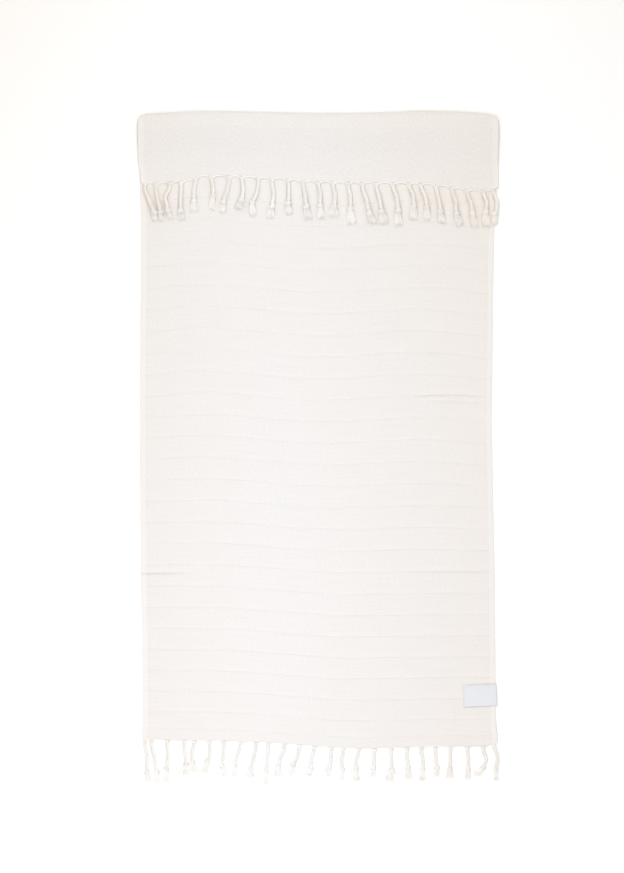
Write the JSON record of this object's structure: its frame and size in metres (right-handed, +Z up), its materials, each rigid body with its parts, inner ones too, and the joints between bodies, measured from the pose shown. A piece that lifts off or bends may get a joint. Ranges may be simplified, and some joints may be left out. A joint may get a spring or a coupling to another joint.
{
  "type": "folded bath towel",
  "caption": "Flat-woven cotton bath towel laid flat, its top end folded over as a flap, with knotted tassel fringes on both ends and a blank label at the selvedge.",
  "frame": {"origin": "middle of the towel's box, on the surface that it lies on", "axes": "+Y from the lower hem towards the fold, +X to the right as seen from above, +Z up"},
  "size_m": [0.929, 1.7298, 0.0266],
  "materials": {
    "cloth": "matt flat-woven cotton, cream, with raised weft ribs",
    "fringe": "twisted and knotted cotton warp yarn, cream",
    "label": "satin-woven tape, pale grey blue, blank"
  },
  "bodies": {
    "root": {"cloth": "cloth", "fringe_flap": "fringe", "fringe_hem": "fringe", "label": "label"}
  },
  "joints": []
}
